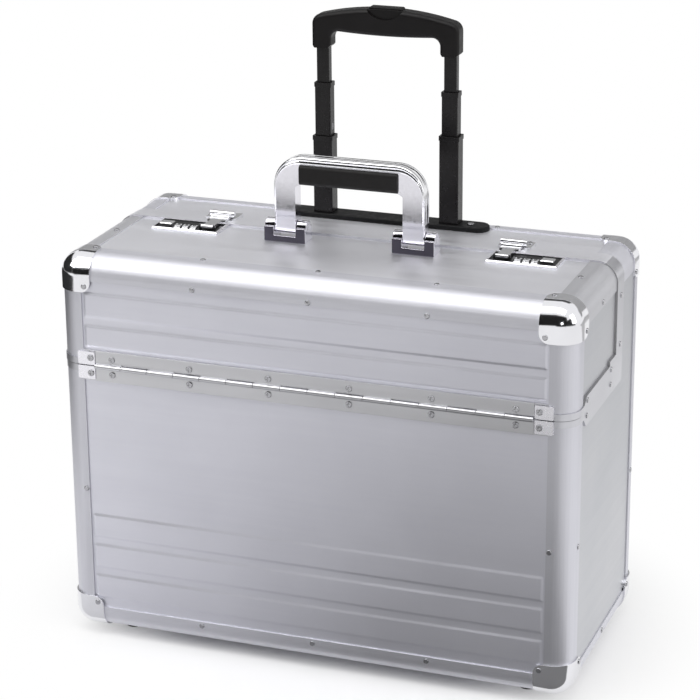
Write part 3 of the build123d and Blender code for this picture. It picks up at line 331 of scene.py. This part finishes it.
def on_side_seam(c, n):
    """Whether a face of the lid's rim belongs to the step along its inner edge, level or rising."""
    beside = c.y > side_front and c.z < top_high.z - shaded_step_drop
    level = n.z > 0.5 and c.z < rim_low.z + level_reach
    rising = n.y < -0.5 and c.y > rim_high.y - rise_reach
    return beside and (level or rising)


def faces_front(c, n):
    """Whether a face looks forward."""
    return n.y < -0.95


# Painted shade inside the lock recesses
paint("lock_plates", painted_recess_shade, in_lock_recess)
# Painted light: the lock walls and the rims' faces that look up on the top take the top panel's lighter copy
paint("lock_plates", painted_light_top_panel, on_lock_wall)
paint("lid_rim", painted_light_top_panel, on_rim_top)
paint("body_rim", painted_light_top_panel, on_rim_top)
# Painted shade on the rim's step along the lid's inner edge at the sides
paint("lid_rim", painted_step_and_hole_shade, on_side_seam)
# Painted dark reflection on the brackets' forward faces
paint("handle_brackets", bracket_front_painted_reflection, faces_front)


# Pieces that only the scene has

def mesh_piece(name, points, faces, material, body):
    """A new piece, in millimetres, that rides on a body and takes its finish from a slot."""
    data = bpy.data.meshes.new(name)
    data.from_pydata([Vector(p) * mm for p in points], [], faces)
    data.materials.append(material)
    obj = add(name, data)
    for face in data.polygons:
        face.use_smooth = True
    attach(obj, body)
    return obj


def skin(rows, count):
    """Faces between rows of points; each row has count points and closes on itself."""
    faces = []
    for row in range(rows - 1):
        low, high = row * count, (row + 1) * count
        for i in range(count):
            k = (i + 1) % count
            faces.append((low + i, low + k, high + k, high + i))
    return faces


# Carrying handle: ribbed channel round the outside of the chrome bow, narrower along the smooth legs
bow_low_corner, bow_high_corner = box_mm("carry_handle_frame")
bow_half, bow_top = bow_high_corner.x, bow_high_corner.z
bow_y = (bow_low_corner.y + bow_high_corner.y) / 2
bow_round = 26.0
leg_end = bow_top - 50.4
leg_narrowing = 0.3

# Half outline of the channel's section: distance inwards from the bow's outer line, and half depth
bow_section = (
    (-0.35, 0.0), (-0.35, 2.3), (0.0, 2.7), (0.0, 3.2), (-0.35, 3.6), (-0.3, 5.2), (0.3, 6.3), (1.3, 6.85),
    (2.6, 6.95), (2.9, 6.55), (3.4, 6.55), (3.7, 6.95), (5.0, 7.0), (5.9, 6.9), (6.3, 6.4),
)


def bow_path(steps=20):
    """Points of the bow's outer line, the direction that points inwards and the share of the full width."""
    path = [(-bow_half, leg_end, 1, 0, leg_narrowing)]
    for i in range(steps + 1):
        a = pi - i * pi / 2 / steps
        share = leg_narrowing + (1 - leg_narrowing) * i / steps
        across, up = bow_round * cos(a), bow_round * sin(a)
        path.append((-bow_half + bow_round + across, bow_top - bow_round + up, -cos(a), -sin(a), share))
    return path + [(-x, z, -nx, nz, share) for x, z, nx, nz, share in reversed(path)]


def channel():
    """Sweeps the section along the bow."""
    ring = [(n, -t) for n, t in bow_section] + [(n, t) for n, t in reversed(bow_section[1:])]
    path = bow_path()
    points = []
    for x, z, nx, nz, share in path:
        for n, t in ring:
            inward = n * share if n > 0 else n
            points.append((x + nx * inward, bow_y + t, z + nz * inward))
    count = len(ring)
    faces = skin(len(path), count)
    faces.append(tuple(range(count)))
    faces.append(tuple(reversed(range(len(points) - count, len(points)))))
    obj = mesh_piece("handle_channel", points, faces, lock_chrome, "carry_handle")
    work = bmesh.new()
    work.from_mesh(obj.data)
    bmesh.ops.recalc_face_normals(work, faces=work.faces)
    work.to_mesh(obj.data)
    work.free()


channel()

# Locking hole of the middle trolley tube, on the inner side of the left leg; its inside is painted shade
stage_low, stage_high = box_mm("trolley_stage_two")
stage_leg_width = 15.1
hole_radius = 1.8
hole_drop = 40.0


def tube_hole(x, y, z, radius, steps=20):
    """A sunk eye with a rolled rim, facing +X, closed by a disc painted dark as the shade inside the hole."""
    rings = ((0.0, radius * 1.15), (0.12, radius * 1.08), (0.12, radius), (0.02, radius * 0.9))
    points = []
    for lift, r in rings:
        for i in range(steps):
            a = 2 * pi * i / steps
            points.append((x + lift, y + r * cos(a), z + 1.5 * r * sin(a)))
    faces = skin(len(rings), steps)
    faces.append(tuple(range(len(points) - steps, len(points))))
    mesh_piece("tube_hole", points, faces, painted_step_and_hole_shade, "stage_two")


stage_middle_y = (stage_low.y + stage_high.y) / 2
tube_hole(stage_low.x + stage_leg_width, stage_middle_y, stage_high.z - hole_drop, hole_radius)

# Number dials: figures 0 to 9 round each dial
dial_radius = 7.0
figure_size = 5.0
figure_weight = 0.12
figure_lift = 0.03


def figure(text):
    """The flat outline of one figure as points and faces, in millimetres, centred on the origin."""
    curve = bpy.data.curves.new("figure", "FONT")
    curve.body = text
    curve.size = figure_size
    curve.offset = figure_weight
    curve.align_x = "CENTER"
    curve.align_y = "CENTER"
    curve.resolution_u = 3
    obj = add("figure", curve)
    bpy.context.view_layer.update()
    flat = bpy.data.meshes.new_from_object(obj.evaluated_get(bpy.context.evaluated_depsgraph_get()))
    points = [(v.co.x, v.co.y) for v in flat.vertices]
    faces = [tuple(f.vertices) for f in flat.polygons]
    bpy.data.objects.remove(obj)
    bpy.data.curves.remove(curve)
    bpy.data.meshes.remove(flat)
    return points, faces


figures = [figure(str(i)) for i in range(10)]


def dial_figures(side, number):
    """Lays the ten figures round one dial."""
    low, high = box_mm(f"dial_{side}_{number}")
    centre = (low + high) / 2
    radius = dial_radius + figure_lift
    points, faces = [], []
    for i, (outline, cells) in enumerate(figures):
        start = len(points)
        for u, v in outline:
            a = i * 2 * pi / len(figures) - v / dial_radius
            points.append((centre.x + u, centre.y - radius * sin(a), centre.z + radius * cos(a)))
        faces += [tuple(start + k for k in cell) for cell in cells]
    mesh_piece(f"figures_{side}_{number}", points, faces, figure_ink, f"dial_{side[0]}{number}")


for side in ("left", "right"):
    for number in (1, 2, 3):
        dial_figures(side, number)


# Camera, worked out from the photograph's perspective
right = Vector((0.93915778, 0.34339733, -0.00780612))
ahead = Vector((-0.32593117, 0.88375678, -0.33577197))
above = right.cross(ahead)
camera_place = (0.71034, -1.93332, 0.99348)
picture_width = 700
focal_pixels = 2501

lens = bpy.data.cameras.new("camera")
lens.sensor_width = 36
lens.lens = focal_pixels / picture_width * lens.sensor_width
lens.clip_start = 0.05
camera = add("camera", lens)
camera.matrix_world = Matrix.Translation(camera_place) @ Matrix((right, above, -ahead)).transposed().to_4x4()
scene.camera = camera


# Studio

def lamp(name, place, target, size, energy):
    """A rectangular soft light that looks at its target."""
    data = bpy.data.lights.new(name, "AREA")
    data.shape = "RECTANGLE"
    data.size, data.size_y = size
    data.energy = energy
    obj = add(name, data)
    obj.location = place
    obj.rotation_euler = (Vector(target) - Vector(place)).to_track_quat("-Z", "Y").to_euler()


lamp("key", (-1.7, -1.5, 2.0), (0, 0, 0.2), (1.5, 1.5), 22)
lamp("top", (-0.1, -0.9, 3.0), (0, 0, 0.2), (3.0, 1.3), 34)
lamp("fill", (2.4, -0.5, 1.2), (0, 0, 0.2), (0.9, 1.6), 11)
lamp("front", (1.25, -3.3, 0.95), (0, 0, 0.25), (0.45, 0.55), 5)


def sheet(name, corners, material):
    """One flat sheet of the studio."""
    data = bpy.data.meshes.new(name)
    data.from_pydata(corners, [], [(0, 1, 2, 3)])
    data.materials.append(material)
    obj = add(name, data)
    return obj


def seen_directly(tree):
    """1 for camera, glossy and transmission rays, otherwise 0."""
    path = shader_node(tree, "ShaderNodeLightPath")
    seen = path.outputs["Is Camera Ray"]
    for kind in ("Is Glossy Ray", "Is Transmission Ray"):
        either = shader_node(tree, "ShaderNodeMath", operation="MAXIMUM")
        tree.links.new(seen, either.inputs[0])
        tree.links.new(path.outputs[kind], either.inputs[1])
        seen = either.outputs[0]
    return seen


def mix_into(tree, output, share, plain, white):
    """Mixes two shaders by a share, into the output of that name."""
    mix = shader_node(tree, "ShaderNodeMixShader")
    tree.links.new(share, mix.inputs["Fac"])
    tree.links.new(plain.outputs[0], mix.inputs[1])
    tree.links.new(white.outputs[0], mix.inputs[2])
    tree.links.new(mix.outputs[0], tree.nodes[output].inputs["Surface"])


# Distances from the middle of the floor between which the shadow fades into the white background
shadow_near, shadow_far = 0.14, 0.34


def pale_floor():
    """Pale under the case, so that its shadow shows, and white background further out."""
    finish = Finish("floor", (0.93, 0.93, 0.93), roughness=0.9, Specular_IOR_Level=0.1)
    tree = finish.tree
    white = shader_node(tree, "ShaderNodeEmission", Strength=1.0)
    distance = shader_node(tree, "ShaderNodeVectorMath", operation="LENGTH")
    fade = shader_node(tree, "ShaderNodeMapRange", interpolation_type="SMOOTHSTEP",
                       From_Min=shadow_near, From_Max=shadow_far)
    mask = shader_node(tree, "ShaderNodeMath", operation="MULTIPLY")
    tree.links.new(finish.place.outputs["Object"], distance.inputs[0])
    tree.links.new(distance.outputs["Value"], fade.inputs["Value"])
    tree.links.new(seen_directly(tree), mask.inputs[0])
    tree.links.new(fade.outputs["Result"], mask.inputs[1])
    mix_into(tree, "Material Output", mask.outputs[0], finish.shader, white)
    return finish.material


floor_half = 6
floor_corners = [(x * floor_half, y * floor_half, 0) for x, y in ((-1, -1), (1, -1), (1, 1), (-1, 1))]
sheet("floor", floor_corners, pale_floor())

world = bpy.data.worlds.new("studio")
scene.world = world
world.use_nodes = True
tree = world.node_tree
plain = tree.nodes["Background"]
plain.inputs["Color"].default_value = (1, 1, 1, 1)
plain.inputs["Strength"].default_value = 0.55
white = shader_node(tree, "ShaderNodeBackground", Color=(1, 1, 1, 1), Strength=1.0)
mix_into(tree, "World Output", seen_directly(tree), plain, white)


def card_finish(name, tone, faded):
    """A matt tone that may begin white and reach its full depth after a share of the width."""
    grey = (tone, tone, tone)
    finish = Finish(name, grey, roughness=1.0, Specular_IOR_Level=0.0)
    split = shader_node(finish.tree, "ShaderNodeSeparateXYZ")
    finish.link(finish.place.outputs["Generated"], split.inputs[0])
    finish.colors(split.outputs["X"], (0.9, 0.9, 0.92) if faded else grey, grey, (0.0, faded))
    return finish.material


def dark_card(name, centre, facing, width, height, tone, faded=0.0):
    """A dark studio flag that only shows in reflections."""
    normal = Vector(facing).normalized()
    across = Vector((0, 0, 1)).cross(normal)
    across = across.normalized() if across.length > 0.01 else Vector((1, 0, 0))
    w, h = across * width / 2, normal.cross(across) * height / 2
    c = Vector(centre)
    obj = sheet(name, [c - w - h, c + w - h, c + w + h, c - w + h], card_finish(name, tone, faded))
    obj.visible_camera = False
    obj.visible_diffuse = False
    obj.visible_transmission = False
    obj.visible_shadow = False


dark_card("card_behind_camera", (0.2, -3.6, 2.1), (0, 1, 0), 7.0, 4.1, 0.02)
dark_card("card_left", (-3.0, -0.5, 1.32), (1, 0, 0), 5.4, 2.6, 0.03)
dark_card("card_right", (2.9, -1.9, 1.0), (-1, 0, 0), 3.0, 1.8, 0.03)
dark_card("card_sky", (0.0, 3.2, 1.3), (0, -1, 0), 7.0, 1.5, 0.5)
dark_card("card_above", (-0.8, 2.6, 2.65), (0, -1, -0.6), 3.4, 1.25, 0.08)
dark_card("card_side", (-1.85, -0.05, 0.002), (0, 0, 1), 2.1, 1.9, 0.03)
dark_card("card_behind_right", (1.2, 1.3, 0.002), (0, 0, 1), 1.3, 1.5, 0.62)
dark_card("card_floor", (0.0, -0.42, 0.0015), (0, 0, 1), 0.75, 0.62, 0.20, 0.55)
dark_card("card_table", (-0.44, -1.18, 0.002), (0, 0, 1), 0.36, 0.16, 0.02)

scene.view_settings.view_transform = "Standard"
